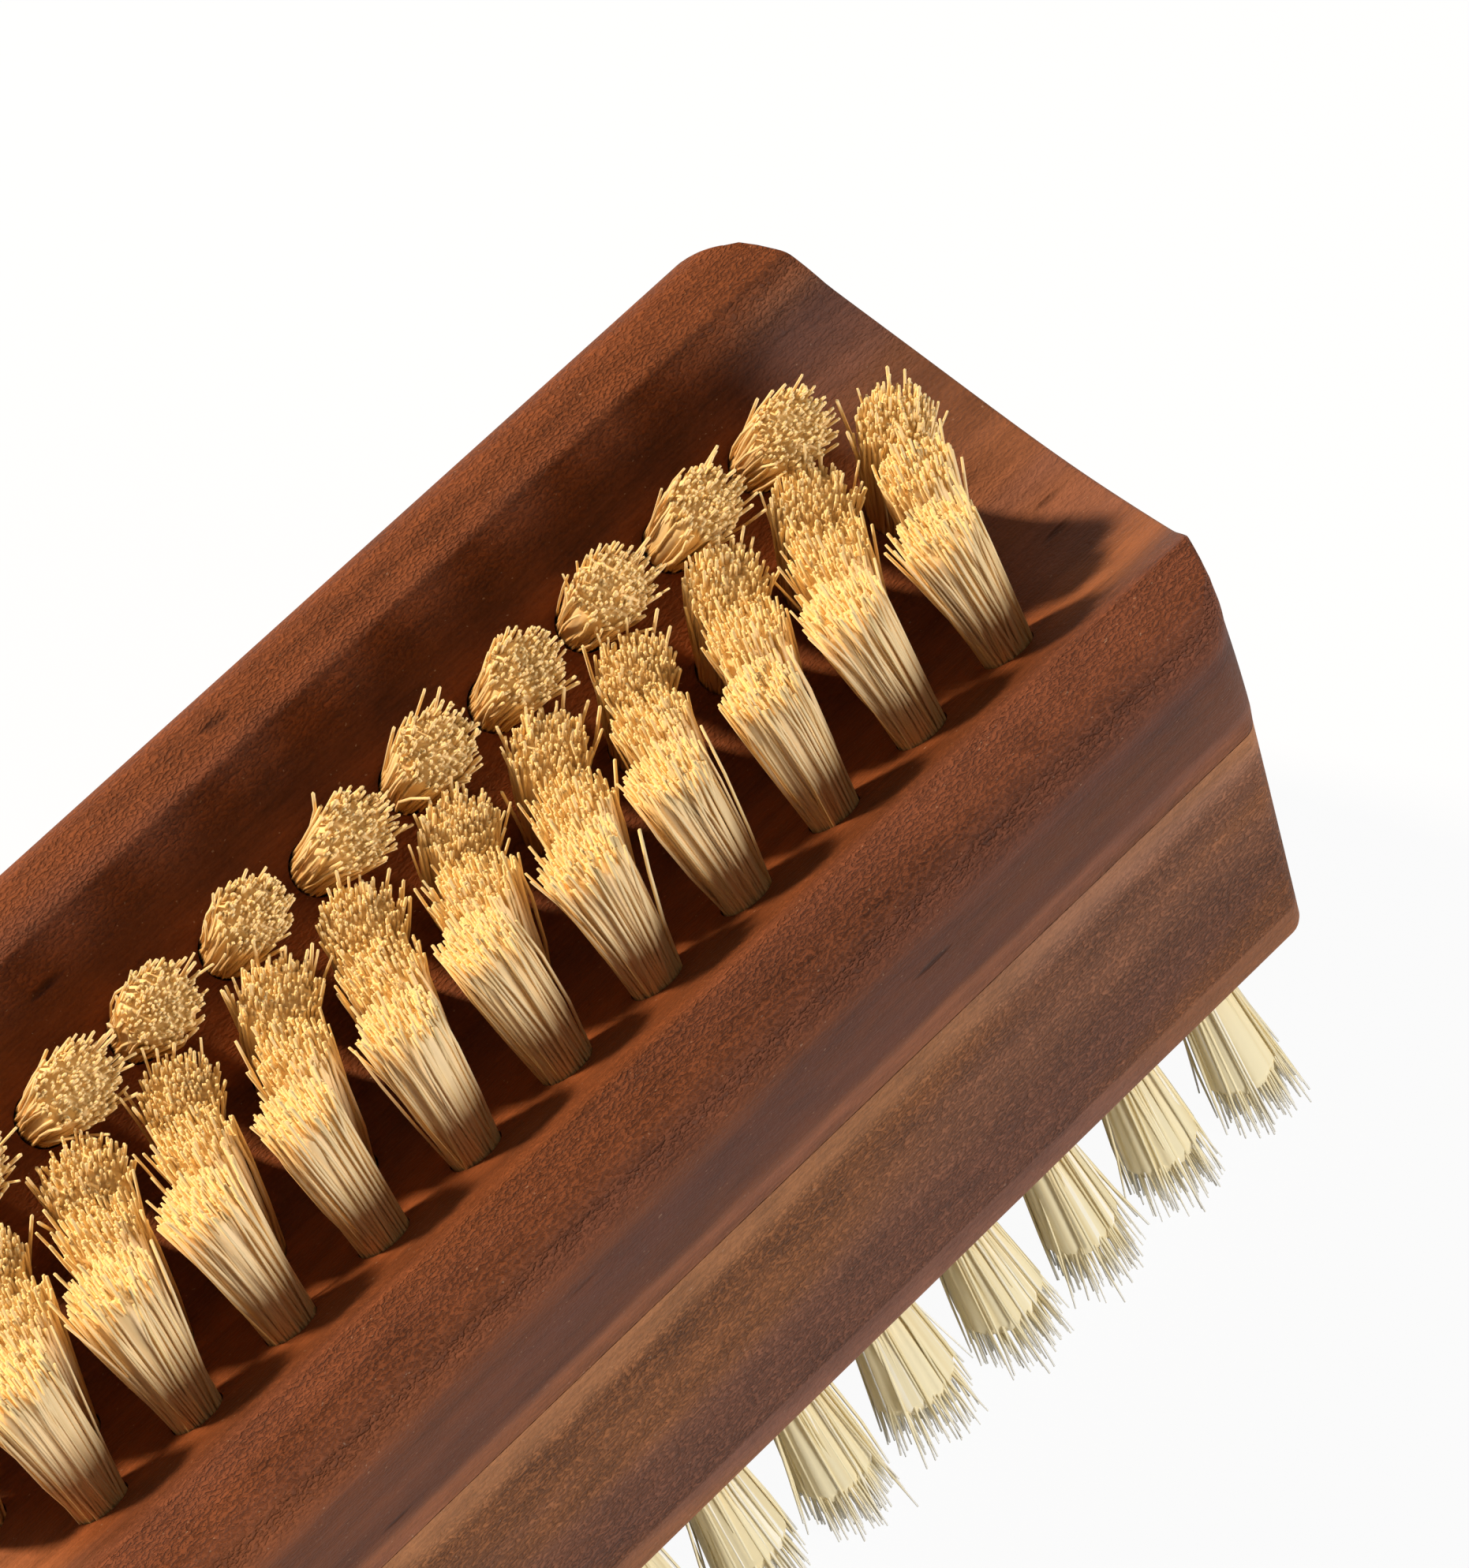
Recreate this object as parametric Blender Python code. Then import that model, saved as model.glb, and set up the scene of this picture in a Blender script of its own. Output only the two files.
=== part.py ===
"""Two-sided hand brush: two glued wooden boards, with rows of bristle tufts drawn in on wire.

The upper board has a dished trough with four rows of tufts that lean inwards. The lower
board has a flat underside with five rows that splay outwards, and the brush stands on them.
Origin: on the ground, under the middle. +X runs along the brush, +Y across it, +Z up.
"""

import math
from dataclasses import dataclass

import bmesh
import bpy
import numpy as np
from mathutils import Matrix, Vector

MM = 0.001

# Blocks
BLOCK_LENGTH = 91.8 * MM
BLOCK_WIDTH = 39.8 * MM
LOWER_BOARD_HEIGHT = 18.7 * MM
UPPER_BOARD_HEIGHT = 13.6 * MM
GLUE_GAP = 0.3 * MM
END_BOW_RADIUS = 38.5 * MM
FOOT_CORNER_RADIUS = 1.4 * MM
RIM_CORNER_RADIUS = 3.2 * MM
FOOT_BEVEL_HEIGHT = 1.5 * MM
FOOT_BEVEL_WIDTH = 0.8 * MM
WAIST_HEIGHT = 1.0 * MM
WAIST_INSET = 1.9 * MM
SEAM_INSET = 1.8 * MM
SHOULDER_INSET = 0.6 * MM
SHOULDER_RADIUS = 2.6 * MM
SEAM_END_INSET = 0.85 * MM
RIM_END_INSET = 2.0 * MM
RIM_END_ROUNDING = 0.3 * MM

# Trough
TROUGH_WIDTH = 28.7 * MM
TROUGH_DEPTH = 9.35 * MM

# Upper tufts
UPPER_PITCH = 6.46 * MM
INNER_ROW_OFFSET = 3.35 * MM
OUTER_ROW_OFFSET = 9.15 * MM
UPPER_OUTER_COUNT = 11
UPPER_INNER_COUNT = 12
INNER_SHIFT_SHARE = 1 / 8
OUTER_LEAN = math.radians(29)
INNER_LEAN = math.radians(11)
OUTER_BRISTLE_LENGTH = 9.8 * MM
INNER_BRISTLE_LENGTH = 10.8 * MM

# Lower tufts
LOWER_BRISTLE_HEIGHT = 11.2 * MM
LOWER_PITCH = 6.46 * MM
LOWER_ROW_STEP = 7.5 * MM
LOWER_OUTER_COUNT = 12
OUTER_SPLAY = math.radians(24)
MIDDLE_SPLAY = math.radians(11)

# Strands, four to a tuft
STRANDS_PER_TUFT = 4
STRAND_SIDES = 3
STRAND_ROOT_RADIUS = 0.45 * MM
STRAND_TIP_RADIUS = 0.65 * MM
ROOT_SPREAD = 0.78 * MM
INNER_TIP_SPREAD = 1.05 * MM
OUTER_TIP_SPREAD = 1.6 * MM
LOWER_TIP_SPREAD = 1.6 * MM
LENGTH_VARIATION_SHARE = 0.04
STRAND_SEED = 7

# The slice of board that carries a row of tufts, and the pocket that it sits in
SLICE_WIDTH = 4.2 * MM
SLICE_THICKNESS = 1.4 * MM
ROOT_DEPTH = 0.7 * MM
CLEARANCE = 0.3 * MM

# Draw wires
WIRE_DIAMETER = 0.5 * MM
WIRE_HOLE_DIAMETER = 2.0 * MM
WIRE_LEG_SPACING = 0.9 * MM
GROOVE_WIDTH = 1.2 * MM
GROOVE_DEPTH = 1.2 * MM

OVERRUN = 3.0 * MM

# Fineness of curved shapes
BOW_STEPS = 4
CORNER_STEPS = 4
SHOULDER_STEPS = 4
TROUGH_STEPS = 24
HOLE_SIDES = 8

# Heights that follow from the sizes
UNDERSIDE_Z = LOWER_BRISTLE_HEIGHT
LOWER_TOP_Z = UNDERSIDE_Z + LOWER_BOARD_HEIGHT
SEAM_Z = LOWER_TOP_Z + GLUE_GAP
RIM_Z = SEAM_Z + UPPER_BOARD_HEIGHT


def clear_scene():
    for obj in list(bpy.data.objects):
        bpy.data.objects.remove(obj, do_unlink=True)


def new_collection(name):
    made = bpy.data.collections.new(name)
    bpy.context.scene.collection.children.link(made)
    return made


def make_material(name, colour, roughness, metallic=0.0):
    material = bpy.data.materials.new(name)
    material.use_nodes = True
    shader = material.node_tree.nodes["Principled BSDF"]
    shader.inputs["Base Color"].default_value = (*colour, 1.0)
    shader.inputs["Roughness"].default_value = roughness
    shader.inputs["Metallic"].default_value = metallic
    return material


def add_part(name, mesh, material):
    part = bpy.data.objects.new(name, mesh)
    mesh.materials.append(material)
    PARTS.objects.link(part)
    return part


def add_cutter(name, mesh):
    cutter = bpy.data.objects.new(name, mesh)
    cutter.hide_render = True
    cutter.display_type = "WIRE"
    CUTTERS.objects.link(cutter)
    return cutter


def boolean(part, cutter, operation="DIFFERENCE"):
    modifier = part.modifiers.new(cutter.name, "BOOLEAN")
    modifier.object = cutter
    modifier.operation = operation
    modifier.solver = "EXACT"


def loft_into(bm, rings):
    """A closed skin through rings of equally many points, with a face at each end."""
    loops = [[bm.verts.new(point) for point in ring] for ring in rings]
    for low, high in zip(loops, loops[1:]):
        for i in range(len(low)):
            j = (i + 1) % len(low)
            bm.faces.new((low[i], low[j], high[j], high[i]))
    bm.faces.new(list(reversed(loops[0])))
    bm.faces.new(loops[-1])


def mesh_from(bm, name):
    bmesh.ops.recalc_face_normals(bm, faces=bm.faces)
    mesh = bpy.data.meshes.new(name)
    bm.to_mesh(mesh)
    bm.free()
    return mesh


def plan_outline(half_length, half_width, z, corner_radius=FOOT_CORNER_RADIUS):
    """The block seen from above at one height: bowed ends, rounded corners, straight sides."""
    corner_y = half_width - corner_radius
    corner_angle = math.asin(corner_y / (END_BOW_RADIUS - corner_radius))
    bow_x = half_length - END_BOW_RADIUS
    corner_x = bow_x + (END_BOW_RADIUS - corner_radius) * math.cos(corner_angle)
    quarter = []
    for step in range(BOW_STEPS):
        angle = corner_angle * step / BOW_STEPS
        quarter.append((bow_x + END_BOW_RADIUS * math.cos(angle), END_BOW_RADIUS * math.sin(angle)))
    for step in range(CORNER_STEPS + 1):
        angle = corner_angle + (math.pi / 2 - corner_angle) * step / CORNER_STEPS
        out_x = corner_radius * math.cos(angle)
        out_y = corner_radius * math.sin(angle)
        quarter.append((corner_x + out_x, corner_y + out_y))
    half = quarter + [(-x, y) for x, y in reversed(quarter)]
    whole = half + [(x, -y) for x, y in reversed(half[1:-1])]
    return [(x, y, z) for x, y in whole]


def trough_z(y):
    return RIM_Z - TROUGH_DEPTH * (1 - (2 * y / TROUGH_WIDTH) ** 2)


def lower_board_mesh():
    half_length = BLOCK_LENGTH / 2
    half_width = BLOCK_WIDTH / 2
    levels = (
        (FOOT_BEVEL_WIDTH, FOOT_BEVEL_WIDTH, UNDERSIDE_Z),
        (0, 0, UNDERSIDE_Z + FOOT_BEVEL_HEIGHT),
        (SEAM_END_INSET, SEAM_INSET, LOWER_TOP_Z),
    )
    bm = bmesh.new()
    loft_into(bm, [plan_outline(half_length - end, half_width - side, z) for end, side, z in levels])
    return mesh_from(bm, "lower_board")


def upper_board_mesh():
    """From the waist, just over the seam, the sides swell to the shoulder, which rounds over to the rim."""
    half_length = BLOCK_LENGTH / 2
    half_width = BLOCK_WIDTH / 2
    waist_z = SEAM_Z + WAIST_HEIGHT
    swell_height = RIM_Z - SHOULDER_RADIUS - waist_z
    rings = [plan_outline(half_length - SEAM_END_INSET, half_width - SEAM_INSET, SEAM_Z)]
    for share in (0, 1 / 3, 2 / 3, 1):
        side = WAIST_INSET + (SHOULDER_INSET - WAIST_INSET) * math.sin(share * math.pi / 2)
        end = SEAM_END_INSET + (RIM_END_INSET - SEAM_END_INSET) * share
        corner = FOOT_CORNER_RADIUS + (RIM_CORNER_RADIUS - FOOT_CORNER_RADIUS) * share
        z = waist_z + swell_height * share
        rings.append(plan_outline(half_length - end, half_width - side, z, corner))
    for step in range(1, SHOULDER_STEPS + 1):
        angle = math.pi / 2 * step / SHOULDER_STEPS
        drawn_in_share = 1 - math.cos(angle)
        end = RIM_END_INSET + RIM_END_ROUNDING * drawn_in_share
        side = SHOULDER_INSET + SHOULDER_RADIUS * drawn_in_share
        z = RIM_Z - SHOULDER_RADIUS * (1 - math.sin(angle))
        rings.append(plan_outline(half_length - end, half_width - side, z, RIM_CORNER_RADIUS))
    bm = bmesh.new()
    loft_into(bm, rings)
    return mesh_from(bm, "upper_board")


def trough_cutter():
    """All that lies over the dished face: a parabola across the block, drawn out past both ends."""
    top_z = RIM_Z + OVERRUN
    reach = TROUGH_WIDTH / 2 * math.sqrt(1 + OVERRUN / TROUGH_DEPTH)
    across = np.linspace(-reach, reach, TROUGH_STEPS + 1)
    section = [(y, trough_z(y)) for y in across]
    crown = [(reach, top_z + OVERRUN), (-reach, top_z + OVERRUN)]
    half_length = BLOCK_LENGTH / 2 + OVERRUN
    bm = bmesh.new()
    loft_into(bm, [[(x, y, z) for y, z in section + crown] for x in (-half_length, half_length)])
    return add_cutter("trough_cutter", mesh_from(bm, "trough_cutter"))


@dataclass
class Row:
    """One row of tufts.

    The mouths lie at y and face_z, around x = shift. tilt leans the tufts towards +Y. side is 1 for
    a row that points up and -1 for one that points down. length runs from the mouth to the tips.
    """

    name: str
    count: int
    pitch: float
    shift: float
    y: float
    face_z: float
    seam_z: float
    tilt: float
    side: int
    length: float
    tip_spread: float

    def outward(self):
        """The unit vector from a tuft's root to its tip."""
        return Vector((0, math.sin(self.tilt), self.side * math.cos(self.tilt)))

    def half_length(self):
        return (self.count - 1) * self.pitch / 2

    def stations(self):
        """The x of each tuft's mouth."""
        return [self.shift - self.half_length() + i * self.pitch for i in range(self.count)]

    def point(self, x, along):
        """The point of a tuft's axis at x, this far out from the mouth, or in where it is negative."""
        return Vector((x, self.y, self.face_z)) + self.outward() * along

    def seam_depth(self):
        """How far in from the mouth a tuft's axis meets the seam."""
        return abs(self.face_z - self.seam_z) / math.cos(self.tilt)

    def wire_depth(self):
        """How far in from the mouth the wire runs, in the middle of its groove."""
        return self.seam_depth() - GROOVE_DEPTH / 2 / math.cos(self.tilt)

    def turn(self):
        """The rotation that takes +Z to the tufts' direction."""
        return Vector((0, 0, 1)).rotation_difference(self.outward()).to_matrix().to_4x4()


def upper_rows():
    """Four rows across the trough, that lean in towards the middle."""
    rows = []
    for name, facing, outer in (
        ("far_outer", 1, True),
        ("far_inner", 1, False),
        ("near_inner", -1, False),
        ("near_outer", -1, True),
    ):
        y = facing * (OUTER_ROW_OFFSET if outer else INNER_ROW_OFFSET)
        rows.append(
            Row(
                name=f"upper_{name}",
                count=UPPER_OUTER_COUNT if outer else UPPER_INNER_COUNT,
                pitch=UPPER_PITCH,
                shift=0 if outer else facing * INNER_SHIFT_SHARE * UPPER_PITCH,
                y=y,
                face_z=trough_z(y),
                seam_z=SEAM_Z,
                tilt=-facing * (OUTER_LEAN if outer else INNER_LEAN),
                side=1,
                length=OUTER_BRISTLE_LENGTH if outer else INNER_BRISTLE_LENGTH,
                tip_spread=OUTER_TIP_SPREAD if outer else INNER_TIP_SPREAD,
            )
        )
    return rows


def lower_rows():
    """Five rows across the underside, that splay out from the middle."""
    rows = []
    for name, place, tilt in (
        ("far_outer", 2, OUTER_SPLAY),
        ("far_middle", 1, MIDDLE_SPLAY),
        ("centre", 0, 0),
        ("near_middle", -1, -MIDDLE_SPLAY),
        ("near_outer", -2, -OUTER_SPLAY),
    ):
        rows.append(
            Row(
                name=f"lower_{name}",
                count=LOWER_OUTER_COUNT - abs(place) % 2,
                pitch=LOWER_PITCH,
                shift=0,
                y=place * LOWER_ROW_STEP,
                face_z=UNDERSIDE_Z,
                seam_z=LOWER_TOP_Z,
                tilt=tilt,
                side=-1,
                length=LOWER_BRISTLE_HEIGHT / math.cos(tilt),
                tip_spread=LOWER_TIP_SPREAD,
            )
        )
    return rows


def strip_into(bm, row, width, inward, outward):
    """A strip with round ends along the row, from this far in under the mouths to this far out."""
    reach = row.half_length()
    outline = []
    for end in (1, -1):
        for step in range(CORNER_STEPS + 1):
            angle = math.pi * (step / CORNER_STEPS - 0.5)
            outline.append((end * (reach + width / 2 * math.cos(angle)), end * width / 2 * math.sin(angle)))
    turn = row.turn() if row.side > 0 else Matrix.Identity(4)
    middle = Vector((row.shift, row.y, row.face_z))
    rings = []
    for height in (-inward, outward):
        rings.append([middle + turn @ Vector((x, y, row.side * height)) for x, y in outline])
    loft_into(bm, rings)


def strands_mesh(row, random):
    """The row's strands: three-sided, each from the slice to its own tip, spreading apart all the way."""
    bm = bmesh.new()
    turn = row.turn()
    for x in row.stations():
        start = random.uniform(0, 2 * math.pi)
        for strand in range(STRANDS_PER_TUFT):
            angle = start + 2 * math.pi * strand / STRANDS_PER_TUFT
            aside = turn @ Vector((math.cos(angle), math.sin(angle), 0))
            length = row.length * (1 - LENGTH_VARIATION_SHARE * random.uniform(0, 1))
            root = row.point(x, -ROOT_DEPTH) + aside * ROOT_SPREAD
            tip = row.point(x, length) + aside * row.tip_spread
            rings = []
            for place, radius in ((root, STRAND_ROOT_RADIUS), (tip, STRAND_TIP_RADIUS)):
                ring = []
                for side in range(STRAND_SIDES):
                    turned = angle + 2 * math.pi * side / STRAND_SIDES
                    corner = Vector((math.cos(turned), math.sin(turned), 0))
                    ring.append(place + turn @ corner * radius)
                rings.append(ring)
            if row.side < 0:
                # The lower tips are cut level with the ground.
                rings[1] = [low + (high - low) * (low.z / (low.z - high.z)) for low, high in zip(*rings)]
            loft_into(bm, rings)
    return mesh_from(bm, f"{row.name}_strands")


def bristle_row(row, material, random, face_cutter):
    """The strands of one row, fused to the slim slice of board that holds their roots."""
    bm = bmesh.new()
    strip_into(bm, row, SLICE_WIDTH, SLICE_THICKNESS, OVERRUN if face_cutter else 0)
    part = add_part(f"{row.name}_bristles", mesh_from(bm, f"{row.name}_bristles"), material)
    if face_cutter:
        boolean(part, face_cutter)
    strands = add_cutter(f"{row.name}_strands", strands_mesh(row, random))
    boolean(part, strands, "UNION")


def cylinder_into(bm, start, end, diameter):
    axis = end - start
    turn = Vector((0, 0, 1)).rotation_difference(axis).to_matrix().to_4x4()
    bmesh.ops.create_cone(
        bm,
        cap_ends=True,
        segments=HOLE_SIDES,
        radius1=diameter / 2,
        radius2=diameter / 2,
        depth=axis.length,
        matrix=Matrix.Translation((start + end) / 2) @ turn,
    )


def cut_board(board, rows):
    """The pockets for the rows' slices, the wire hole behind each tuft, and the wire grooves at the seam."""
    pockets = bmesh.new()
    holes = bmesh.new()
    grooves = bmesh.new()
    for row in rows:
        strip_into(pockets, row, SLICE_WIDTH + 2 * CLEARANCE, SLICE_THICKNESS + CLEARANCE, OVERRUN)
        for x in row.stations():
            mouth = row.point(x, -SLICE_THICKNESS)
            back = row.point(x, -row.seam_depth() - OVERRUN)
            cylinder_into(holes, mouth, back, WIRE_HOLE_DIAMETER)
        wire = row.point(row.shift, -row.wire_depth())
        place = Matrix.Translation((wire.x, wire.y, row.seam_z))
        size = (2 * row.half_length() + 2 * WIRE_HOLE_DIAMETER, GROOVE_WIDTH, 2 * GROOVE_DEPTH)
        bmesh.ops.create_cube(grooves, size=1, matrix=place @ Matrix.Diagonal((*size, 1)))
    for kind, bm in (("pockets", pockets), ("wire_holes", holes), ("wire_grooves", grooves)):
        name = f"{board.name}_{kind}"
        boolean(board, add_cutter(name, mesh_from(bm, name)))


def draw_wire(row, material):
    """One wire along the row by the seam, that dips into each wire hole to hold the tuft's fold."""
    depth = row.wire_depth()
    fold = SLICE_THICKNESS + CLEARANCE + WIRE_DIAMETER
    route = []
    for x in row.stations():
        for aside, along in ((-1, depth), (-1, fold), (1, fold), (1, depth)):
            route.append(row.point(x + aside * WIRE_LEG_SPACING / 2, -along))
    tail = Vector((WIRE_HOLE_DIAMETER / 2, 0, 0))
    route = [route[0] - tail, *route, route[-1] + tail]
    curve = bpy.data.curves.new(f"{row.name}_draw_wire", "CURVE")
    curve.dimensions = "3D"
    curve.bevel_depth = WIRE_DIAMETER / 2
    curve.bevel_resolution = 0
    curve.use_fill_caps = True
    spline = curve.splines.new("POLY")
    spline.points.add(len(route) - 1)
    for point, place in zip(spline.points, route):
        point.co = (*place, 1)
    add_part(f"{row.name}_draw_wire", curve, material)


def main():
    upper_wood = make_material("oiled_wood_upper", (0.23, 0.075, 0.03), 0.5)
    lower_wood = make_material("oiled_wood_lower", (0.15, 0.06, 0.035), 0.6)
    upper_bristle = make_material("golden_bristle", (0.62, 0.42, 0.19), 0.4)
    lower_bristle = make_material("cream_bristle", (0.72, 0.62, 0.40), 0.4)
    wire = make_material("steel_wire", (0.55, 0.55, 0.55), 0.3, 1.0)

    random = np.random.default_rng(STRAND_SEED)
    trough = trough_cutter()
    upper_board = add_part("upper_board", upper_board_mesh(), upper_wood)
    boolean(upper_board, trough)
    lower_board = add_part("lower_board", lower_board_mesh(), lower_wood)
    for board, rows, bristle, face_cutter in (
        (upper_board, upper_rows(), upper_bristle, trough),
        (lower_board, lower_rows(), lower_bristle, None),
    ):
        cut_board(board, rows)
        for row in rows:
            bristle_row(row, bristle, random, face_cutter)
            draw_wire(row, wire)


clear_scene()
PARTS = new_collection("hand_brush")
CUTTERS = new_collection("cutters")
main()
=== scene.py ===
"""Looks of a two-sided wooden hand brush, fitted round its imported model.

Two oiled boards are glued one on the other. Four rows of tufts stand in the dished trough of
the upper board, and five rows splay out under the lower one. Lengths are in metres, +X runs
along the brush, +Y across it, and +Z up out of the trough.
"""

import math
from functools import cached_property

import bmesh
import bpy
import numpy as np
from bpy.props import FloatProperty, FloatVectorProperty, IntProperty, PointerProperty
from mathutils import Matrix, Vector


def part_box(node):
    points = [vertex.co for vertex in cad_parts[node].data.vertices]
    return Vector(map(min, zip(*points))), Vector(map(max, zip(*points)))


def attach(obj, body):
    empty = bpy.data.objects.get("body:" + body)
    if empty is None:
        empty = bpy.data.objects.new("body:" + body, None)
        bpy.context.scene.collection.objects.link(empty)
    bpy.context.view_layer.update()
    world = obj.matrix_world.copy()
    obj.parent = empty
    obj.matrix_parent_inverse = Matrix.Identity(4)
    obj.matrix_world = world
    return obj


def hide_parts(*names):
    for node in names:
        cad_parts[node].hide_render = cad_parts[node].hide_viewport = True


bl_info = {
    "name": "Hand brush",
    "version": (1, 0, 0),
    "blender": (4, 5, 0),
    "location": "3D View > Sidebar > Hand brush",
    "description": "Boards, bristles and wires of a two-sided wooden hand brush, with its stage",
    "category": "Object",
}

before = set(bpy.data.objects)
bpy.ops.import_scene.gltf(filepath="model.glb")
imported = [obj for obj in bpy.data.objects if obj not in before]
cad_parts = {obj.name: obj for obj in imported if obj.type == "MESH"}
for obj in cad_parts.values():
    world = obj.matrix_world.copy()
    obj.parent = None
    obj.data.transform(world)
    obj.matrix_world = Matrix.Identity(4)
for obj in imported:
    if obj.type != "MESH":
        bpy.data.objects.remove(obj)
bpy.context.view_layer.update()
UPPER_LOW, UPPER_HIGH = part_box("upper_board")
LOWER_LOW, LOWER_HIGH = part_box("lower_board")

MM = 0.001
TUFT_PITCH = 6.46 * MM
LOWER_ROW_GAP = 7.5 * MM
GOLDEN_ANGLE = math.pi * (3 - math.sqrt(5))
TUFT_WIDENING = 1.25
CORE_RIBS = 54
CREASE_ANGLE = 32
LAMP_DISTANCE = 1.5


# Sizes and colours that a user may change


class BlockSizes(bpy.types.PropertyGroup):
    """The two boards."""

    end_bow: FloatProperty(
        name="End bow",
        description="Radius of the bowed ends, seen from above",
        default=38.5 * MM,
        unit="LENGTH",
    )
    foot_corner: FloatProperty(
        name="Foot corner",
        description="Radius of the upright corners from the foot to the waist, seen from above",
        default=1.4 * MM,
        unit="LENGTH",
    )
    rim_corner: FloatProperty(
        name="Rim corner",
        description="Radius of the upright corners at the rim, seen from above",
        default=3.2 * MM,
        unit="LENGTH",
    )
    trough_width: FloatProperty(
        name="Trough width",
        description="Width of the dished trough",
        default=28.7 * MM,
        unit="LENGTH",
    )
    trough_depth: FloatProperty(
        name="Trough depth",
        description="Depth of the trough's middle",
        default=9.35 * MM,
        unit="LENGTH",
    )
    ridge_round: FloatProperty(
        name="Ridge rounding",
        description="Radius between the trough and the rim",
        default=0.7 * MM,
        unit="LENGTH",
    )
    shoulder: FloatProperty(
        name="Shoulder",
        description="Radius between the rim and the side",
        default=2.6 * MM,
        unit="LENGTH",
    )
    hole: FloatProperty(
        name="Hole",
        description="Radius of a tuft's hole at its mouth",
        default=1.55 * MM,
        unit="LENGTH",
    )
    glue_line: FloatProperty(
        name="Glue line",
        description="Height of the fine dark joint that shows between the boards",
        default=0.09 * MM,
        unit="LENGTH",
    )


class BristleSizes(bpy.types.PropertyGroup):
    """The tufts."""

    thickness: FloatProperty(
        name="Thickness",
        description="Thickness of one bristle",
        default=0.2 * MM,
        unit="LENGTH",
    )
    upper_count: IntProperty(
        name="Upper bristles", description="Bristles in an upper tuft", default=280
    )
    lower_count: IntProperty(
        name="Lower bristles", description="Bristles in a lower tuft", default=190
    )
    root: FloatProperty(
        name="Root",
        description="Radius of a tuft at its mouth",
        default=1.42 * MM,
        unit="LENGTH",
    )
    fan: FloatProperty(
        name="Fan",
        description="Half width of a tuft's tips along the brush",
        default=2.3 * MM,
        unit="LENGTH",
    )
    stray: FloatProperty(
        name="Strays", description="Share of bristles that stand out", default=0.09, subtype="FACTOR"
    )


class FinishColours(bpy.types.PropertyGroup):
    """The colours of the wood and the bristles."""

    upper_wood: FloatVectorProperty(
        name="Upper wood",
        description="Colour of the upper board",
        default=(0.197, 0.059, 0.0215),
        subtype="COLOR",
    )
    lower_wood: FloatVectorProperty(
        name="Lower wood",
        description="Colour of the lower board",
        default=(0.203, 0.078, 0.031),
        subtype="COLOR",
    )
    golden_bristle: FloatVectorProperty(
        name="Golden bristle",
        description="Colour of the upper tufts",
        default=(0.93, 0.70, 0.38),
        subtype="COLOR",
    )
    cream_bristle: FloatVectorProperty(
        name="Cream bristle",
        description="Colour of the lower tufts",
        default=(0.92, 0.80, 0.51),
        subtype="COLOR",
    )


class StageLook(bpy.types.PropertyGroup):
    """The light."""

    key_power: FloatProperty(
        name="Key power", description="Power of the warm key lamp", default=35.0, subtype="POWER"
    )
    key_size: FloatProperty(
        name="Key size", description="Side of the square key lamp", default=0.16, unit="LENGTH"
    )
    fill_power: FloatProperty(
        name="Fill power", description="Power of the cool fill lamp", default=17.5, subtype="POWER"
    )
    room_light: FloatProperty(
        name="Room light",
        description="Strength of the light from all round",
        default=0.11,
        subtype="FACTOR",
    )


# Meshes


def mesh_of(name, points, faces):
    """A mesh of these points, with every row of faces one face of as many corners."""
    mesh = bpy.data.meshes.new(name)
    mesh.vertices.add(len(points))
    mesh.vertices.foreach_set("co", points.astype(np.float32).ravel())
    mesh.loops.add(faces.size)
    mesh.loops.foreach_set("vertex_index", faces.astype(np.int32).ravel())
    mesh.polygons.add(len(faces))
    mesh.polygons.foreach_set("loop_start", np.arange(0, faces.size, faces.shape[1], dtype=np.int32))
    mesh.update(calc_edges=True)
    return mesh


def grid_faces(rows, columns, first=0, closed=False):
    """The four-cornered faces of a grid of points. closed joins its last column to its first."""
    row = np.arange(rows - 1)[:, None]
    column = np.arange(columns if closed else columns - 1)[None, :]
    right = (column + 1) % columns
    low = first + row * columns
    high = low + columns
    return np.stack(
        np.broadcast_arrays(low + column, low + right, high + right, high + column), axis=-1
    ).reshape(-1, 4)


def weld_and_point_outwards(mesh):
    """Merges doubled points, drops the faces that this closes, and turns all faces outwards."""
    shell = bmesh.new()
    shell.from_mesh(mesh)
    bmesh.ops.remove_doubles(shell, verts=shell.verts, dist=1e-7)
    bmesh.ops.recalc_face_normals(shell, faces=shell.faces)
    shell.to_mesh(mesh)
    shell.free()


def round_rods(centres, radii, across, up, sides, ribs=1.0):
    """Closed rods of round section, each carried along its own path.

    A point is its path's centre, plus the radius there times (cosine of the turn times across, plus
    sine of the turn times up) times the rib of its turn. centres is rods by stations by 3, radii is
    rods by stations, across and up are rods by 3, and ribs is 1 or rods by sides. The ends are
    closed by strips from side to side.
    """
    rods, stations = radii.shape
    turn = np.arange(sides) * 2 * math.pi / sides
    cosine, sine = np.cos(turn)[None, :, None], np.sin(turn)[None, :, None]
    ring = cosine * across[:, None, :] + sine * up[:, None, :]
    ring = ring * np.broadcast_to(ribs, (rods, sides))[..., None]
    points = centres[:, :, None, :] + radii[:, :, None, None] * ring[:, None, :, :]
    side = grid_faces(stations, sides, closed=True)
    strip = np.arange(sides // 2 - 1)
    cap = np.stack([strip, strip + 1, sides - 2 - strip, sides - 1 - strip], axis=-1)
    one = np.concatenate([side, cap[:, ::-1], cap + (stations - 1) * sides])
    faces = one[None, :, :] + (np.arange(rods) * stations * sides)[:, None, None]
    return points.reshape(-1, 3), faces.reshape(-1, 4)


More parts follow.
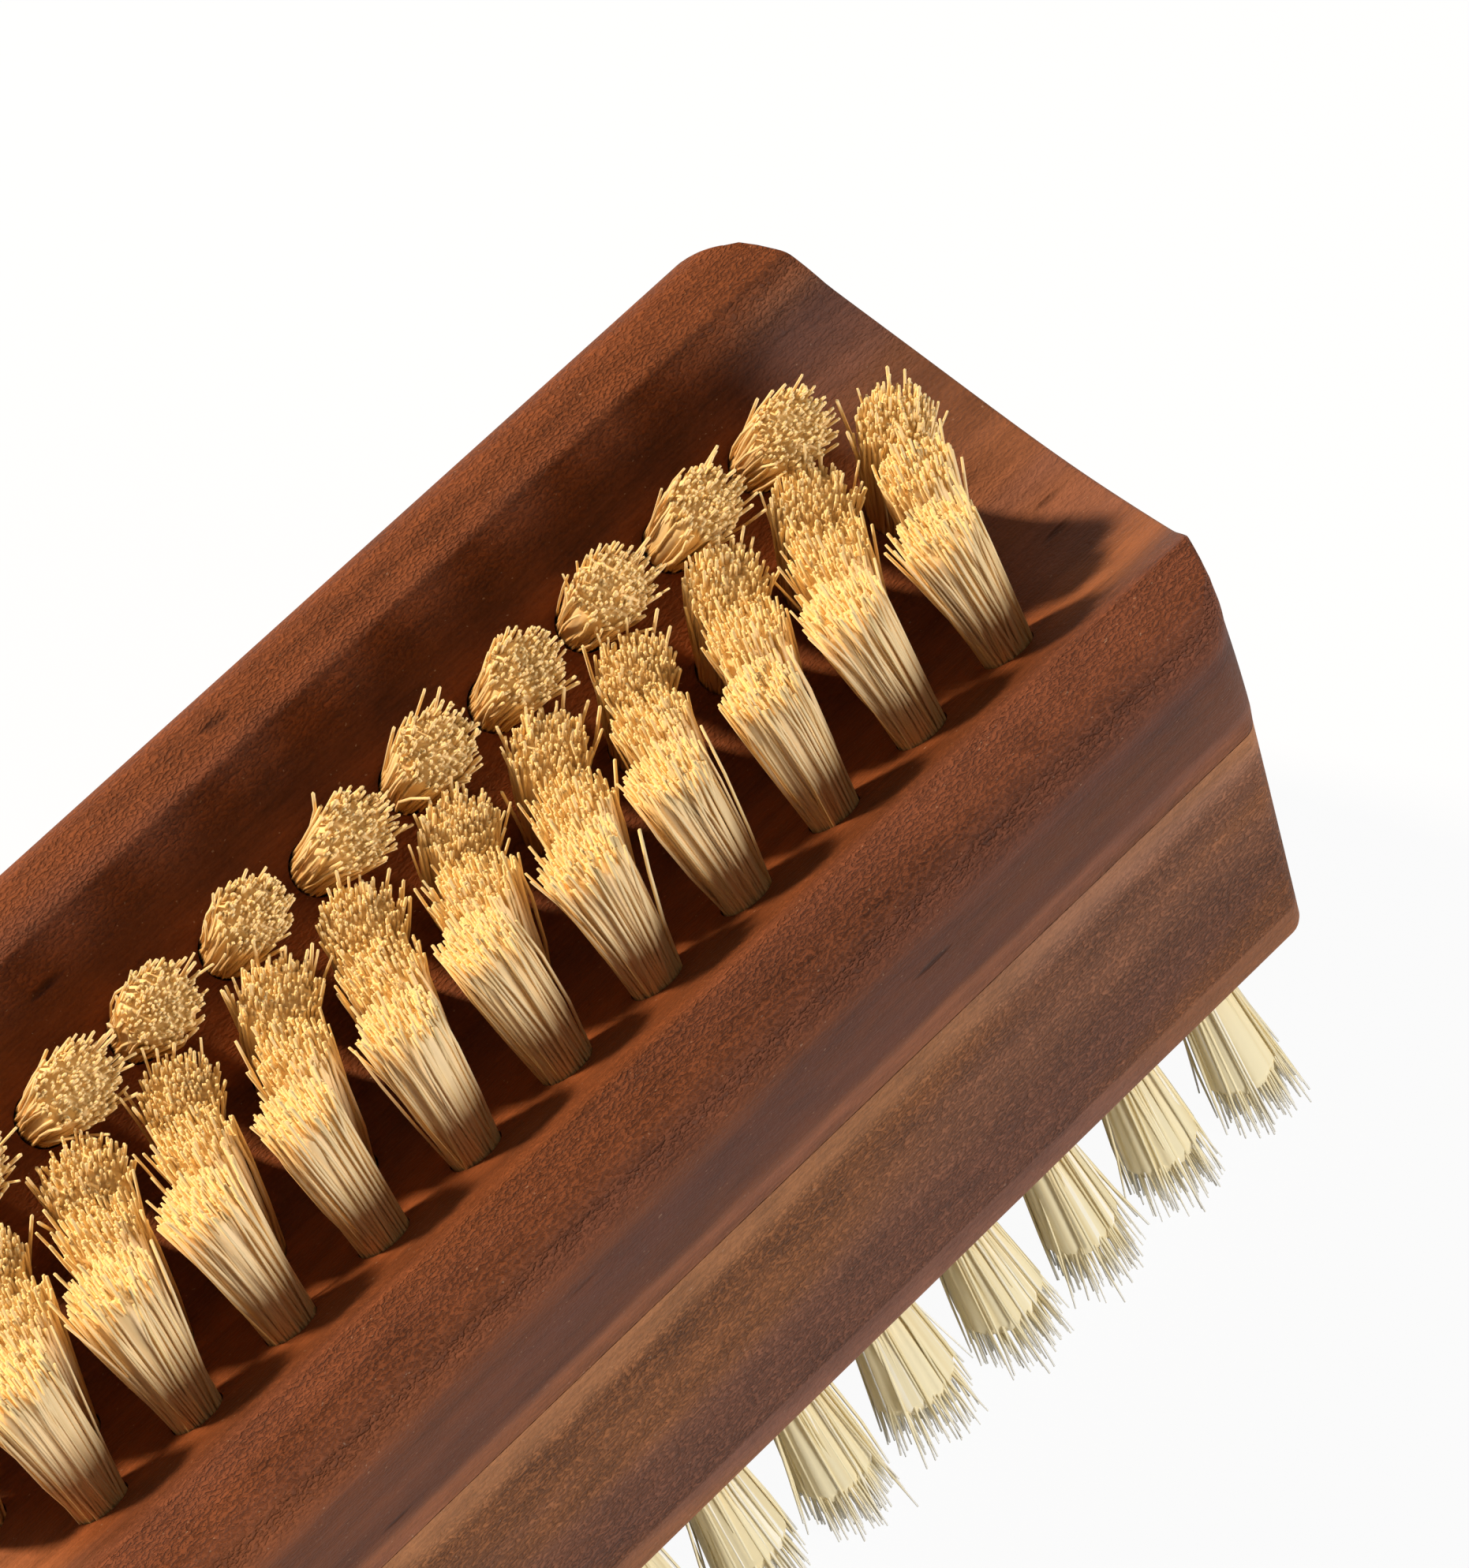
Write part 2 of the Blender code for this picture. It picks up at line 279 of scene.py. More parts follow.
def add_piece(name, mesh, finish, slot, *nodes):
    """Puts a finished mesh in the scene in place of these nodes of the model."""
    piece = bpy.data.objects.new(name, mesh)
    mesh.materials.append(finish)
    bpy.context.scene.collection.objects.link(piece)
    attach(piece, "root")
    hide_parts(*nodes)
    return piece


def cut(mesh, cutter_mesh):
    """The mesh less the cutter, as a new mesh."""
    board = bpy.data.objects.new("board", mesh)
    cutter = bpy.data.objects.new("cutter", cutter_mesh)
    for made in (board, cutter):
        bpy.context.scene.collection.objects.link(made)
    modifier = board.modifiers.new("holes", "BOOLEAN")
    modifier.object = cutter
    modifier.solver = "EXACT"
    shape = board.evaluated_get(bpy.context.evaluated_depsgraph_get())
    result = bpy.data.meshes.new_from_object(shape)
    for made in (board, cutter):
        bpy.data.objects.remove(made)
    weld_and_point_outwards(result)
    return result


def shade(mesh):
    """Smooth shading, with an edge wherever the faces turn by more than the crease angle."""
    mesh.shade_smooth()
    mesh.set_sharp_from_angle(angle=math.radians(CREASE_ANGLE))


# The tuft rows


class Row:
    """One row of tufts.

    name begins the names of its nodes. x holds its tufts' places along the brush, and y and face_z
    are those of their mouths. The tufts run outward for about length, and across and up are their
    other two axes. side is 1 on top and -1 below.
    """

    def __init__(self, name, count, shift, y, face_z, tilt, side, length):
        self.name = name
        self.x = shift + (np.arange(count) - (count - 1) / 2) * TUFT_PITCH
        self.y = y
        self.face_z = face_z
        self.side = side
        self.length = length
        self.outward = np.array([0.0, math.sin(tilt), side * math.cos(tilt)])
        self.across = np.array([1.0, 0.0, 0.0])
        self.up = np.cross(self.outward, self.across)

    def mouths(self):
        """The middle of each tuft's mouth."""
        flat = np.ones_like(self.x)
        return np.stack([self.x, self.y * flat, self.face_z * flat], axis=-1)


def trough_z(y, block):
    """The rim's height, less the depth times (1 less the square of y over half the width)."""
    return UPPER_HIGH.z - block.trough_depth * (1 - (2 * y / block.trough_width) ** 2)


def upper_rows(block):
    """The rows in the trough. The inner ones are shifted along the brush by an eighth of the pitch."""
    rows = []
    for name, facing, count, shift, offset, lean, length in (
        ("far_outer", 1, 11, 0, 9.15, 29, 9.8),
        ("far_inner", 1, 12, TUFT_PITCH / 8, 3.35, 11, 10.8),
        ("near_inner", -1, 12, -TUFT_PITCH / 8, 3.35, 11, 10.8),
        ("near_outer", -1, 11, 0, 9.15, 29, 9.8),
    ):
        y = facing * offset * MM
        tilt = -facing * math.radians(lean)
        z = trough_z(y, block)
        rows.append(Row(f"upper_{name}", count, shift, y, z, tilt, 1, length * MM))
    return rows


def lower_rows():
    """The rows under the block, which splay out and all end on the ground."""
    rows = []
    for name, place, count, splay in (
        ("far_outer", 2, 12, 24),
        ("far_middle", 1, 11, 11),
        ("centre", 0, 12, 0),
        ("near_middle", -1, 11, -11),
        ("near_outer", -2, 12, -24),
    ):
        tilt = math.radians(splay)
        z = LOWER_LOW.z
        length = z / math.cos(tilt)
        rows.append(Row(f"lower_{name}", count, 0, place * LOWER_ROW_GAP, z, tilt, -1, length))
    return rows


def tuft_holes(rows, radius):
    """Round holes, wider at the mouth: rods along the tufts' axes, from 3 mm in to 3 mm out."""
    along = np.array([-3.0, 0.0, 3.0]) * MM
    width = np.array([0.9, 1.0, 1.1]) * radius
    centres = np.concatenate(
        [row.mouths()[:, None, :] + along[None, :, None] * row.outward for row in rows]
    )
    count = len(centres)
    across = np.concatenate([np.repeat([row.across], len(row.x), axis=0) for row in rows])
    up = np.concatenate([np.repeat([row.up], len(row.x), axis=0) for row in rows])
    points, faces = round_rods(centres, np.repeat([width], count, axis=0), across, up, 28)
    mesh = mesh_of("tuft_holes", points, faces)
    weld_and_point_outwards(mesh)
    return mesh


def bristle_mesh(row, count, sizes, rng, spread):
    """All the bristles of a row, each a slim four-sided rod, round the ribbed cores of its tufts.

    In a tuft, bristle number n starts on a sunflower pattern: its share of the radius is the root
    of n over the count, and its turn is n golden angles. It runs out along the tuft's axis while it
    moves away from it, from the root's radius to the tips' ellipse, as the 1.25th power of the way
    out, and bows aside as the way out times the way left. spread is the half widths of the ellipse.
    """
    tufts = len(row.x)
    shape = (tufts, count)
    number = np.arange(count) + 0.5
    share = np.sqrt(number / count)[None, :] * rng.uniform(0.94, 1.04, shape)
    turn = number[None, :] * GOLDEN_ANGLE + rng.uniform(0, 2 * math.pi, (tufts, 1))
    stray = rng.random(shape) < sizes.stray
    loose = np.where(stray, rng.uniform(1.1, 1.45, shape), rng.uniform(0.9, 1.08, shape))
    fan = rng.uniform(0.92, 1.08, (tufts, 1))
    tip_turn = turn + rng.normal(0, 0.10, shape)
    root = np.stack([np.cos(turn), np.sin(turn)], axis=-1) * (share * sizes.root)[..., None]
    tip_x = np.cos(tip_turn) * share * loose * spread[0] * fan
    tip_y = np.sin(tip_turn) * share * loose * spread[1] * fan
    lean = rng.normal(0, 0.22 * MM, (tufts, 1, 2))
    tip = np.stack([tip_x, tip_y], axis=-1) + lean
    bend = rng.normal(0, 0.16 * MM, (*shape, 2))

    way = np.array([-0.18, 0.0, 0.35, 0.7, 1.0])
    out = np.clip(way, 0, 1)
    move = out**TUFT_WIDENING
    bow = 4 * out * (1 - out)
    flat = (
        root[:, :, None, :] * (1 - move)[:, None]
        + tip[:, :, None, :] * move[:, None]
        + bend[:, :, None, :] * bow[:, None]
    )
    if row.side > 0:
        trimmed = 1 - 0.10 * rng.random(shape) ** 1.5 + np.where(stray, 0.11, 0) * rng.random(shape)
        reach = row.length * trimmed * (1 - 0.05 * share**2)
        taper = np.array([1.0, 1.0, 1.0, 0.97, 0.9])
    else:
        ground = row.face_z * (0.005 + 0.13 * rng.random(shape) ** 2.2)
        sideways = flat[:, :, -1, 1] * row.up[2]
        reach = (row.face_z - ground + sideways) / -row.outward[2]
        taper = np.array([1.0, 1.0, 1.0, 0.85, 0.55])
    along = way[None, None, :] * reach[:, :, None]
    centres = row.mouths()[:, None, None, :] + along[..., None] * row.outward + aside(row, flat)
    thick = sizes.thickness / 2 * rng.uniform(0.8, 1.15, shape)
    rods = tufts * count
    roll = rng.uniform(0, math.pi / 2, rods)
    across = np.cos(roll)[:, None] * row.across + np.sin(roll)[:, None] * row.up
    up = -np.sin(roll)[:, None] * row.across + np.cos(roll)[:, None] * row.up
    radii = (thick[..., None] * taper).reshape(rods, -1)
    points, faces = round_rods(centres.reshape(rods, -1, 3), radii, across, up, 4)
    place = np.repeat(np.tile(out, rods), 4)
    tint = np.repeat(rng.random(rods), len(way) * 4)
    core = core_shape(row, sizes, rng, spread, fan, lean, reach.mean(axis=1))

    faces = np.concatenate([faces, core[1] + len(points)])
    mesh = mesh_of(row.name, np.concatenate([points, core[0]]), faces)
    layer = mesh.uv_layers.new(name="bristle")
    place, tint = np.concatenate([place, core[2]]), np.concatenate([tint, core[3]])
    way_and_tint = np.stack([place, tint], axis=-1)
    layer.uv.foreach_set("vector", way_and_tint[faces.ravel()].astype(np.float32).ravel())
    mesh.shade_smooth()
    return mesh


def aside(row, flat):
    """Offsets across and up a tuft, as offsets in space."""
    return flat[..., 0:1] * row.across + flat[..., 1:2] * row.up


def core_shape(row, sizes, rng, spread, fan, lean, reach):
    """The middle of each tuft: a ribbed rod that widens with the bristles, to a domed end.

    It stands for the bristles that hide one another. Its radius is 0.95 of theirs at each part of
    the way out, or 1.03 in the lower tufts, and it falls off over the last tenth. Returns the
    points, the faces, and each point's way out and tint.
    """
    tufts = len(row.x)
    upper = row.side > 0
    way = np.array([-0.1, 0.0, 0.3, 0.6, 0.85, 0.93, 0.96]) * (1 if upper else 0.92)
    out = np.clip(way, 0, 1)
    move = out**TUFT_WIDENING
    radii = sizes.root * (1 - move) + spread[0] * fan * move
    radii = radii * np.array([0.95, 0.95, 0.95, 0.95, 0.92, 0.72, 0.3]) * (1 if upper else 1.08)
    centres = row.mouths()[:, None, :] + way[None, :, None] * reach[:, None, None] * row.outward
    centres = centres + aside(row, lean * move[None, :, None])
    across = np.repeat([row.across], tufts, axis=0)
    up = np.repeat([row.up * spread[1] / spread[0]], tufts, axis=0)
    ribs = rng.uniform(0.93, 1.04, (tufts, CORE_RIBS))
    points, faces = round_rods(centres, radii, across, up, CORE_RIBS, ribs)
    place = np.tile(np.repeat(out, CORE_RIBS), tufts)
    tint = np.repeat(rng.random((tufts, 1, CORE_RIBS)), len(way), axis=1).ravel()
    return points, faces, place, tint


# The boards


def plan_reach(y, half_length, half_width, bow, corner):
    """How far the block reaches along x at this y: a bowed end, then the arc of the corner."""
    angle = np.arcsin((half_width - corner) / (bow - corner))
    bow_x = half_length - bow
    corner_x = bow_x + (bow - corner) * np.cos(angle)
    far = np.abs(y)
    on_bow = bow_x + np.sqrt(np.maximum(bow**2 - far**2, 0))
    on_corner = corner_x + np.sqrt(np.maximum(corner**2 - (far - half_width + corner) ** 2, 0))
    return np.where(far < bow * np.sin(angle), on_bow, on_corner)


def corner_turns(half_width, bow, corner, steps):
    """Distances from the middle that follow the corner's arc in even turns, up to half_width."""
    angle = math.asin((half_width - corner) / (bow - corner))
    return half_width - corner + corner * np.sin(np.linspace(angle, math.pi / 2, steps))


def top_height(y, half_width, block):
    """The section's top: the trough, an arc over the ridge, the flat rim, and the shoulder's arc."""
    far = np.abs(y)
    rim = UPPER_HIGH.z
    half_trough = block.trough_width / 2
    slope = math.atan(4 * block.trough_depth / block.trough_width)
    arc = block.ridge_round
    arc_y = half_trough + arc * math.tan(slope / 2)
    ridge = rim - arc + np.sqrt(np.maximum(arc**2 - (arc_y - far) ** 2, 0))
    turn_y = half_width - block.shoulder
    shoulder = rim - block.shoulder + np.sqrt(np.maximum(block.shoulder**2 - (far - turn_y) ** 2, 0))
    height = np.where(far < arc_y - arc * math.sin(slope), trough_z(far, block), ridge)
    height = np.where(far > arc_y, rim, height)
    return np.where(far > turn_y, shoulder, height)


def upper_board_mesh(block):
    """The upper board as one closed skin.

    Each column has its own share c of the half width, and runs round the board in a loop: along
    the bottom, up the end face, over a small rounding, back along the top, and down the other end.
    x is the share of the way along times the reach of the bowed plan at that y and height. y is c
    times the half width at that height, which swells from the waist to the shoulder as a quarter of
    a sine. z on the top is the section's height. The two flanks close the loops at c = 1 and -1.
    """
    seam = (LOWER_HIGH.z + UPPER_LOW.z + block.glue_line) / 2
    rim = UPPER_HIGH.z
    half_width = UPPER_HIGH.y
    half_length = LOWER_HIGH.x
    swell_top = rim - block.shoulder
    waist = UPPER_LOW.z + 1.0 * MM
    waist_width = LOWER_HIGH.y - 1.9 * MM

    def swell(z):
        return np.clip((z - waist) / (swell_top - waist), 0, 1)

    def width(z):
        """The half width: a small lip under the waist, the swell, and the shoulder's arc."""
        lip = np.clip((waist - z) / (waist - seam), 0, 1) * 0.1 * MM
        side = waist_width + (half_width - waist_width) * np.sin(swell(z) * math.pi / 2) + lip
        over = np.clip(z - swell_top, 0, block.shoulder)
        return side - block.shoulder + np.sqrt(block.shoulder**2 - over**2)

    def reach(y, z):
        over = np.clip((z - swell_top) / block.shoulder, 0, 1)
        inset = 0.85 * MM + 1.15 * MM * swell(z) + 0.3 * MM * (1 - np.sqrt(1 - over**2))
        corner = block.foot_corner + (block.rim_corner - block.foot_corner) * swell(z)
        return plan_reach(y, half_length - inset, width(z), block.end_bow, corner)

    half_trough = block.trough_width / 2
    turns = corner_turns(half_width, block.end_bow, block.rim_corner, 22)
    half = np.concatenate(
        [
            np.linspace(0, half_trough - 0.5 * MM, 34)[:-1],
            np.linspace(half_trough - 0.5 * MM, half_trough + 0.6 * MM, 14)[:-1],
            np.linspace(half_trough + 0.6 * MM, turns[0], 4)[:-1],
            turns,
        ]
    )
    c = np.concatenate([-half[:0:-1], half]) / half_width

    y_top = c * half_width
    z_top = top_height(y_top, half_width, block)
    past = np.clip((np.abs(y_top) - half_width + block.shoulder) / block.shoulder, 0, 1)
    soft = 0.32 * MM * (1 - past) ** 2
    step = np.linspace(0, 1, 26)
    rise = np.concatenate([[0, 0.015, 0.06, 0.073], 0.1 + 0.9 * (1 - (1 - step) ** 2)])
    z_end = seam + (z_top - soft - seam)[:, None] * rise
    share = np.where(z_end > swell_top, half_width, width(np.minimum(z_end, swell_top)))
    y_end = c[:, None] * share
    x_end = reach(y_end, z_end)
    turn = np.linspace(0, math.pi / 2, 8)[1:-1]
    x_soft = x_end[:, -1:] - soft[:, None] * (1 - np.cos(turn))
    z_soft = z_end[:, -1:] + soft[:, None] * np.sin(turn)
    y_soft = np.repeat(y_end[:, -1:], len(turn), axis=1)
    stations = np.linspace(-1, 1, 97)
    x_top = (x_end[:, -1:] - soft[:, None]) * stations[::-1]
    y_top = np.repeat(y_end[:, -1:], len(stations), axis=1)
    z_top = np.repeat(z_top[:, None], len(stations), axis=1)
    x_low = x_end[:, :1] * stations[1:-1]
    y_low = np.repeat(y_end[:, :1], len(stations) - 2, axis=1)
    z_low = np.full_like(x_low, seam)
    x = np.concatenate([x_low, x_end, x_soft, x_top, -x_soft[:, ::-1], -x_end[:, ::-1]], axis=1)
    y = np.concatenate([y_low, y_end, y_soft, y_top, y_soft[:, ::-1], y_end[:, ::-1]], axis=1)
    z = np.concatenate([z_low, z_end, z_soft, z_top, z_soft[:, ::-1], z_end[:, ::-1]], axis=1)
    points = [np.stack([x, y, z], axis=-1).reshape(-1, 3)]
    faces = [grid_faces(len(c), x.shape[1], closed=True)]
    for side in (0, -1):
        flank_x = stations[:, None] * x_end[side]
        flank_y = np.broadcast_to(y_end[side], flank_x.shape)
        flank_z = np.broadcast_to(z_end[side], flank_x.shape)
        faces.append(grid_faces(len(stations), len(rise), sum(len(part) for part in points)))
        points.append(np.stack([flank_x, flank_y, flank_z], axis=-1).reshape(-1, 3))
    mesh = mesh_of("upper_board", np.concatenate(points), np.concatenate(faces))
    weld_and_point_outwards(mesh)
    return mesh


def lower_board_mesh(block):
    """The lower board as one closed skin of plan outlines, stacked up the flared side.

    An outline's x at a given y is the reach of the bowed plan, mirrored to the other end. The side's
    inset is 0.8 mm at the foot, nothing over the foot's bevel, and grows evenly to 1.8 mm at the
    seam. The first and last outline shrink to a line, which closes both faces.
    """
    low, high = LOWER_LOW.z, (LOWER_HIGH.z + UPPER_LOW.z - block.glue_line) / 2
    rise = np.array([0, 0.1, 0.7, 1.42, 1.55, 1.7, 4, 8, 12, 16, 18.3, 18.7]) * MM
    knots = np.array([0, 0.1, 1.42, 1.7, 18.7]) * MM
    side = np.interp(rise, knots, np.array([0.88, 0.78, 0.05, 0.02, 1.8]) * MM)
    end = np.interp(rise, knots, np.array([0.88, 0.78, 0.05, 0.01, 0.85]) * MM)
    z = low + rise
    z[-1] = high
    half_width = (LOWER_HIGH.y - side)[:, None]
    turns = corner_turns(LOWER_HIGH.y, block.end_bow, block.foot_corner, 12)
    quarter = np.concatenate([np.linspace(0, turns[0], 24)[:-1], turns])
    y = np.concatenate([quarter, quarter[::-1], -quarter[1:], -quarter[:0:-1]])
    y = y / LOWER_HIGH.y * half_width
    count = len(quarter)
    heading = np.repeat([1, -1, -1, 1], [count, count, count - 1, count - 1])
    half_length = LOWER_HIGH.x - end[:, None]
    x = heading * plan_reach(y, half_length, half_width, block.end_bow, block.foot_corner)
    rings = np.stack([x, y, np.broadcast_to(z[:, None], x.shape)], axis=-1)
    spine = rings[[0, -1]] * np.array([1.0, 0.0, 1.0])
    skin = np.concatenate([spine[:1], rings, spine[1:]])
    mesh = mesh_of("lower_board", skin.reshape(-1, 3), grid_faces(len(skin), x.shape[1], closed=True))
    weld_and_point_outwards(mesh)
    return mesh


# Finishes


class Tone:
    """A socket's value in a finish. Python's operators on it add the nodes of the sum."""

    def __init__(self, finish, socket):
        self.finish = finish
        self.socket = socket

    def _sum(self, operation, first, second):
        made = self.finish.node("ShaderNodeMath", {"operation": operation}, {0: first, 1: second})
        return made["Value"]

    def __add__(self, other):
        return self._sum("ADD", self, other)

    def __sub__(self, other):
        return self._sum("SUBTRACT", self, other)

    def __rsub__(self, other):
        return self._sum("SUBTRACT", other, self)

    def __mul__(self, other):
        return self._sum("MULTIPLY", self, other)

    __radd__ = __add__
    __rmul__ = __mul__


class Finish:
    """The nodes of a material or a world, which all come from node()."""

    def __init__(self, owner):
        self.owner = owner
        owner.use_nodes = True
        self.tree = owner.node_tree
        self.tree.nodes.clear()

    @cached_property
    def place(self):
        """Where a point lies in its own object."""
        return self.node("ShaderNodeTexCoord")["Object"]

    def node(self, kind, settings=(), inputs=()):
        """Adds a node: first its settings, then its sockets' values or links. Returns its outputs."""
        made = self.tree.nodes.new(kind)
        for key, value in dict(settings).items():
            if key == "stops":
                self.set_stops(made.color_ramp, value)
            else:
                setattr(made, key, value)
        sockets = {socket.identifier: socket for socket in made.inputs}
        for key, value in dict(inputs).items():
            socket = made.inputs[key] if isinstance(key, int) else sockets[key]
            if isinstance(value, Tone):
                self.tree.links.new(value.socket, socket)
            elif socket.type == "RGBA" and len(value) == 3:
                socket.default_value = (*value, 1.0)
            else:
                socket.default_value = value
        return {socket.identifier: Tone(self, socket) for socket in made.outputs}

    @staticmethod
    def set_stops(ramp, stops):
        while len(ramp.elements) < len(stops):
            ramp.elements.new(1.0)
        for element, (position, colour) in zip(ramp.elements, stops):
            element.position = position
            element.color = (*colour, 1.0)

    def noise(self, per_metre, detail=3.0, roughness=0.55, distortion=0.0, offset=(0, 0, 0)):
        """Noise with this many waves to the metre along x, y and z."""
        where = self.node(
            "ShaderNodeMapping", {}, {"Vector": self.place, "Location": offset, "Scale": per_metre}
        )["Vector"]
        settings = {"Vector": where, "Scale": 1.0, "Detail": detail}
        settings.update({"Roughness": roughness, "Distortion": distortion})
        return self.node("ShaderNodeTexNoise", {}, settings)["Fac"]

    def rise(self, value, low, high):
        """0 under low and 1 over high, with a smooth way between."""
        inputs = {"Value": value, "From Min": low, "From Max": high}
        return self.node("ShaderNodeMapRange", {"interpolation_type": "SMOOTHSTEP"}, inputs)["Result"]

    def mix(self, share, first, second, blend_type="MIX"):
        """The first colour with this share of the second laid over it."""
        settings = {"data_type": "RGBA", "blend_type": blend_type}
        inputs = {"Factor_Float": share, "A_Color": first, "B_Color": second}
        return self.node("ShaderNodeMix", settings, inputs)["Result_Color"]

    def scaled(self, colour, factor):
        """The colour times the factor."""
        inputs = {"Vector": colour, "Scale": factor}
        return self.node("ShaderNodeVectorMath", {"operation": "SCALE"}, inputs)["Vector"]

    def ramp(self, value, stops):
        """The colour at this value between the stops, which are positions and colours."""
        return self.node("ShaderNodeValToRGB", {"stops": stops}, {"Fac": value})["Color"]

    def axes(self):
        """The place's x, y and z."""
        return self.node("ShaderNodeSeparateXYZ", {}, {"Vector": self.place})

    def bump(self, height, depth):
        """The normal of a surface whose height of 1 stands this deep, in metres."""
        return self.node("ShaderNodeBump", {}, {"Height": height, "Distance": depth})["Normal"]

    def principled(self, inputs):
        return self.node("ShaderNodeBsdfPrincipled", {}, inputs)["BSDF"]

    def surface(self, shader):
        """The material, with this shader as its surface."""
        self.node("ShaderNodeOutputMaterial", {}, {"Surface": shader})
        return self.owner


def shades(colour, *factors):
    """The colour times each factor."""
    return [tuple(min(channel * factor, 1.0) for channel in colour) for factor in factors]


def wood_finish(name, colour, plain_grain, grain, coarse, offset, zones):
    """Oiled fruit wood with its grain along x.

    The colour is scaled by 1 plus weighted noises about their mean: broad and narrow streaks along
    the brush, soft blotches, fine fibres, and short pores. The pores weigh grain in the coarse zone
    and plain_grain elsewhere. coarse holds the zone's lower and upper edge, each as the heights
    between which it fades. Patches turn towards purple. Sparse dark nicks and pale specks lie on
    top. zones lists places to tint: the limits along each axis, as distances from the origin (from,
    to, and the way over which they fade), and the factors of red, green and blue.
    """
    wood = Finish(bpy.data.materials.new(name))
    broad = wood.noise((9, 110, 140), 2.0, distortion=0.5, offset=offset)
    streak = wood.noise((34, 560, 560), 4.0, distortion=0.3, offset=offset)
    blotch = wood.noise((260, 430, 430), 3.0, distortion=0.4, offset=offset)
    fibre = wood.noise((500, 5200, 5200), 3.0, roughness=0.6, offset=offset)
    axes = wood.axes()
    rough = wood.rise(axes["Z"], *coarse[0]) * (1 - wood.rise(axes["Z"], *coarse[1]))
    grain = plain_grain + (grain - plain_grain) * rough
    pores = wood.rise(wood.noise((3500, 6200, 6200), 1.5, distortion=0.3, offset=offset), 0.34, 0.66)
    scale = 1.0 + 1.1 * (broad - 0.5) + 0.8 * (streak - 0.5) + 0.7 * (blotch - 0.5)
    scale = scale + 0.8 * (fibre - 0.5) + grain * (pores - 0.5)
    inputs = {"Vector": wood.place, "Rotation": (0.3, 0.0, 0.35), "Scale": (75, 330, 330)}
    cells = wood.node("ShaderNodeMapping", {}, inputs)["Vector"]
    nick = wood.node("ShaderNodeTexVoronoi", {}, {"Vector": cells, "Scale": 1.0})["Distance"]
    nicks = (1 - wood.rise(nick, 0.05, 0.13)) * wood.rise(wood.noise((60, 110, 110), 1.0), 0.56, 0.62)
    scale = scale * (1 - 0.6 * nicks)
    purple = (colour[0] * 0.80, colour[1] * 0.90, colour[2] * 1.35)
    patch = wood.rise(wood.noise((16, 150, 120), 2.0, offset=offset), 0.44, 0.66)
    tone = wood.mix(0.75 * patch, tuple(colour), purple)
    # some zones are painted light and painted shade
    for limits, factors in zones:
        inside = 1.0
        for axis, (low, high, fade) in limits.items():
            far = wood.node("ShaderNodeMath", {"operation": "ABSOLUTE"}, {0: axes[axis]})["Value"]
            inside = wood.rise(far, low - fade, low) * (1 - wood.rise(far, high, high + fade)) * inside
        tone = wood.mix(inside, tone, factors, "MULTIPLY")
    tone = wood.scaled(tone, scale)
    dust = wood.rise(wood.noise((3600, 4600, 4600), 1.0), 0.735, 0.80)
    tone = wood.mix(0.35 * dust, tone, (0.50, 0.33, 0.22))
    height = grain * pores + 0.25 * fibre + 0.2 * streak - 0.8 * nicks
    sheen = {"Roughness": 0.46 + 0.14 * blotch + 0.12 * pores, "Specular IOR Level": 0.08}
    return wood.surface(
        wood.principled({"Base Color": tone, "Normal": wood.bump(height, 0.0002), **sheen})
    )


def bristle_finish(name, colour, root_painted_shade, tip_colour):
    """Bristle: each has its own tone, darkened at the root by painted shade and pale at its cut tip."""
    bristle = Finish(bpy.data.materials.new(name))
    layer = bristle.node("ShaderNodeUVMap", {"uv_map": "bristle"})["UV"]
    parts = bristle.node("ShaderNodeSeparateXYZ", {}, {"Vector": layer})
    way, tint = parts["X"], parts["Y"]
    deep, plain, pale = shades(colour, 0.94, 1.0, 1.04)
    deep = (deep[0], deep[1] * 0.95, deep[2] * 0.85)
    tone = bristle.ramp(tint, [(0.0, deep), (0.4, plain), (0.85, pale), (1.0, tip_colour)])
    # painted shade: the bristles darken towards the roots, deep in the tufts where little light reaches
    tone = bristle.mix(1 - bristle.rise(way, 0.0, 0.6), tone, root_painted_shade, "MULTIPLY")
    tone = bristle.mix(0.8 * bristle.rise(way, 0.82, 1.0), tone, tip_colour)
    ripple = bristle.noise((1400, 1400, 1400), 2.0)
    horn = {"Roughness": 0.30 + 0.2 * ripple, "Specular IOR Level": 0.1}
    return bristle.surface(
        bristle.principled({"Base Color": tone, "Normal": bristle.bump(ripple, 0.00002), **horn})
    )


def wire_finish():
    """Drawn steel wire with fine lines and a dull film."""
    wire = Finish(bpy.data.materials.new("drawn_wire"))
    lines = wire.noise((300, 9000, 9000), 2.0)
    film = wire.noise((500, 500, 500), 3.0)
    tone = wire.ramp(film, [(0.35, (0.34, 0.33, 0.31)), (0.7, (0.60, 0.59, 0.57))])
    steel = {"Roughness": 0.25 + 0.25 * film, "Metallic": 1.0}
    return wire.surface(
        wire.principled({"Base Color": tone, "Normal": wire.bump(lines, 0.00001), **steel})
    )


# Operators


